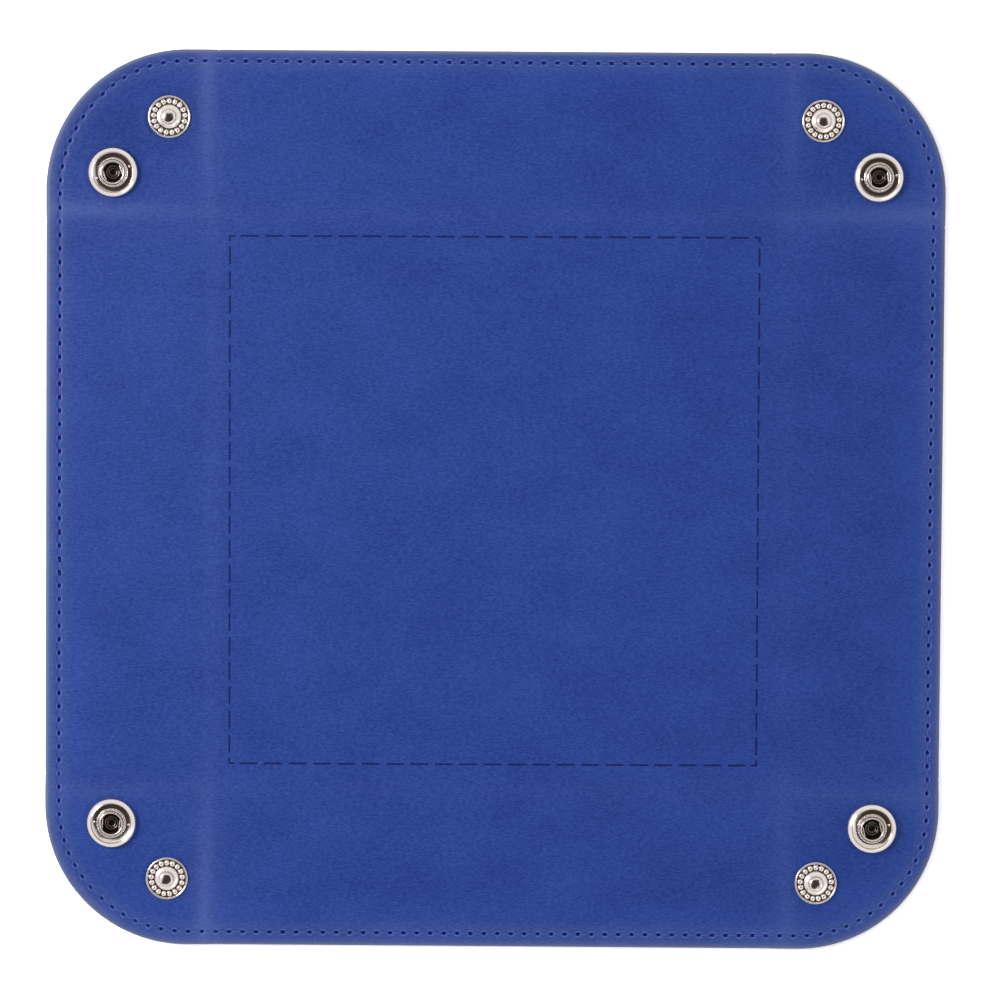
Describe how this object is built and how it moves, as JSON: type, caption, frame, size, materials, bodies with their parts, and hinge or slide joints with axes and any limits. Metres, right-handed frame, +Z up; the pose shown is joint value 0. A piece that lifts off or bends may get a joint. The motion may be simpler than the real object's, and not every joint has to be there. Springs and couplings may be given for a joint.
{
  "type": "folding dice tray",
  "caption": "Square leather dice tray that lies flat; its walls fold up and each corner pinches together on a press stud.",
  "frame": {"origin": "under the middle of the open tray, on the surface that it lies on", "axes": "+Z up out of the floor's inner face, +X to the right side, +Y to the back side"},
  "size_m": [0.229, 0.229, 0.0062],
  "materials": {
    "leather": "fine grained, semi-matt",
    "board": "raw",
    "nickel": "bright nickel plate",
    "spring_wire": "drawn wire"
  },
  "bodies": {
    "floor": {"floor_liner": "leather", "floor_board": "board", "floor_backing": "leather"},
    "wall_left": {"wall_left_liner": "leather", "wall_left_board": "board", "wall_left_backing": "leather"},
    "wall_right": {"wall_right_liner": "leather", "wall_right_board": "board", "wall_right_backing": "leather"},
    "wall_front": {"wall_front_liner": "leather", "wall_front_board": "board", "wall_front_backing": "leather"},
    "wall_back": {"wall_back_liner": "leather", "wall_back_board": "board", "wall_back_backing": "leather"},
    "corner_fold_back_left": {"corner_fold_back_left_strip": "leather"},
    "corner_fold_back_right": {"corner_fold_back_right_strip": "leather"},
    "corner_fold_front_left": {"corner_fold_front_left_strip": "leather"},
    "corner_fold_front_right": {"corner_fold_front_right_strip": "leather"},
    "stud_flap_back_left": {"stud_flap_back_left_liner": "leather", "stud_flap_back_left_backing": "leather", "stud_back_left": "nickel", "eyelet_back_left": "nickel"},
    "stud_flap_back_right": {"stud_flap_back_right_liner": "leather", "stud_flap_back_right_backing": "leather", "stud_back_right": "nickel", "eyelet_back_right": "nickel"},
    "stud_flap_front_left": {"stud_flap_front_left_liner": "leather", "stud_flap_front_left_backing": "leather", "stud_front_left": "nickel", "eyelet_front_left": "nickel"},
    "stud_flap_front_right": {"stud_flap_front_right_liner": "leather", "stud_flap_front_right_backing": "leather", "stud_front_right": "nickel", "eyelet_front_right": "nickel"},
    "socket_flap_back_left": {"socket_flap_back_left_liner": "leather", "socket_flap_back_left_backing": "leather", "socket_back_left": "nickel", "cap_rivet_back_left": "nickel", "socket_spring_back_left": "spring_wire"},
    "socket_flap_back_right": {"socket_flap_back_right_liner": "leather", "socket_flap_back_right_backing": "leather", "socket_back_right": "nickel", "cap_rivet_back_right": "nickel", "socket_spring_back_right": "spring_wire"},
    "socket_flap_front_left": {"socket_flap_front_left_liner": "leather", "socket_flap_front_left_backing": "leather", "socket_front_left": "nickel", "cap_rivet_front_left": "nickel", "socket_spring_front_left": "spring_wire"},
    "socket_flap_front_right": {"socket_flap_front_right_liner": "leather", "socket_flap_front_right_backing": "leather", "socket_front_right": "nickel", "cap_rivet_front_right": "nickel", "socket_spring_front_right": "spring_wire"}
  },
  "joints": [
    {"name": "fold_wall_left", "type": "hinge", "parent": "floor", "child": "wall_left", "pos_m": [-0.0735, 0, 0.003], "axis": [0, 1, 0], "range_deg": [0, 90]},
    {"name": "fold_wall_right", "type": "hinge", "parent": "floor", "child": "wall_right", "pos_m": [0.0735, 0, 0.003], "axis": [0, -1, 0], "range_deg": [0, 90]},
    {"name": "fold_wall_front", "type": "hinge", "parent": "floor", "child": "wall_front", "pos_m": [0, -0.0735, 0.003], "axis": [-1, 0, 0], "range_deg": [0, 90]},
    {"name": "fold_wall_back", "type": "hinge", "parent": "floor", "child": "wall_back", "pos_m": [0, 0.0735, 0.003], "axis": [1, 0, 0], "range_deg": [0, 90]},
    {"name": "fold_corner_back_left", "type": "hinge", "parent": "floor", "child": "corner_fold_back_left", "pos_m": [-0.07202, 0.07202, 0.003], "axis": [0.7071, 0.7071, 0], "range_deg": [0, 45]},
    {"name": "fold_corner_back_right", "type": "hinge", "parent": "floor", "child": "corner_fold_back_right", "pos_m": [0.07202, 0.07202, 0.003], "axis": [0.7071, -0.7071, 0], "range_deg": [0, 45]},
    {"name": "fold_corner_front_left", "type": "hinge", "parent": "floor", "child": "corner_fold_front_left", "pos_m": [-0.07202, -0.07202, 0.003], "axis": [-0.7071, 0.7071, 0], "range_deg": [0, 45]},
    {"name": "fold_corner_front_right", "type": "hinge", "parent": "floor", "child": "corner_fold_front_right", "pos_m": [0.07202, -0.07202, 0.003], "axis": [-0.7071, -0.7071, 0], "range_deg": [0, 45]},
    {"name": "fold_stud_flap_back_left", "type": "hinge", "parent": "corner_fold_back_left", "child": "stud_flap_back_left", "pos_m": [-0.07053, 0.0735, 0.003], "axis": [0.7071, -0.7071, 0], "range_deg": [0, 90]},
    {"name": "fold_stud_flap_back_right", "type": "hinge", "parent": "corner_fold_back_right", "child": "stud_flap_back_right", "pos_m": [0.07053, 0.0735, 0.003], "axis": [0.7071, 0.7071, 0], "range_deg": [0, 90]},
    {"name": "fold_stud_flap_front_left", "type": "hinge", "parent": "corner_fold_front_left", "child": "stud_flap_front_left", "pos_m": [-0.07053, -0.0735, 0.003], "axis": [-0.7071, -0.7071, 0], "range_deg": [0, 90]},
    {"name": "fold_stud_flap_front_right", "type": "hinge", "parent": "corner_fold_front_right", "child": "stud_flap_front_right", "pos_m": [0.07053, -0.0735, 0.003], "axis": [-0.7071, 0.7071, 0], "range_deg": [0, 90]},
    {"name": "fold_socket_flap_back_left", "type": "hinge", "parent": "corner_fold_back_left", "child": "socket_flap_back_left", "pos_m": [-0.0735, 0.07053, 0.003], "axis": [-0.7071, 0.7071, 0], "range_deg": [0, 90]},
    {"name": "fold_socket_flap_back_right", "type": "hinge", "parent": "corner_fold_back_right", "child": "socket_flap_back_right", "pos_m": [0.0735, 0.07053, 0.003], "axis": [-0.7071, -0.7071, 0], "range_deg": [0, 90]},
    {"name": "fold_socket_flap_front_left", "type": "hinge", "parent": "corner_fold_front_left", "child": "socket_flap_front_left", "pos_m": [-0.0735, -0.07053, 0.003], "axis": [0.7071, 0.7071, 0], "range_deg": [0, 90]},
    {"name": "fold_socket_flap_front_right", "type": "hinge", "parent": "corner_fold_front_right", "child": "socket_flap_front_right", "pos_m": [0.0735, -0.07053, 0.003], "axis": [0.7071, -0.7071, 0], "range_deg": [0, 90]}
  ],
  "couplings": [
    {"joint": "fold_wall_right", "follows": "fold_wall_left", "ratio": 1},
    {"joint": "fold_wall_front", "follows": "fold_wall_left", "ratio": 1},
    {"joint": "fold_wall_back", "follows": "fold_wall_left", "ratio": 1},
    {"joint": "fold_corner_back_left", "follows": "fold_wall_left", "ratio": 0.5},
    {"joint": "fold_corner_back_right", "follows": "fold_wall_left", "ratio": 0.5},
    {"joint": "fold_corner_front_left", "follows": "fold_wall_left", "ratio": 0.5},
    {"joint": "fold_corner_front_right", "follows": "fold_wall_left", "ratio": 0.5},
    {"joint": "fold_stud_flap_back_left", "follows": "fold_wall_left", "ratio": 1},
    {"joint": "fold_stud_flap_back_right", "follows": "fold_wall_left", "ratio": 1},
    {"joint": "fold_stud_flap_front_left", "follows": "fold_wall_left", "ratio": 1},
    {"joint": "fold_stud_flap_front_right", "follows": "fold_wall_left", "ratio": 1},
    {"joint": "fold_socket_flap_back_left", "follows": "fold_wall_left", "ratio": 1},
    {"joint": "fold_socket_flap_back_right", "follows": "fold_wall_left", "ratio": 1},
    {"joint": "fold_socket_flap_front_left", "follows": "fold_wall_left", "ratio": 1},
    {"joint": "fold_socket_flap_front_right", "follows": "fold_wall_left", "ratio": 1}
  ]
}
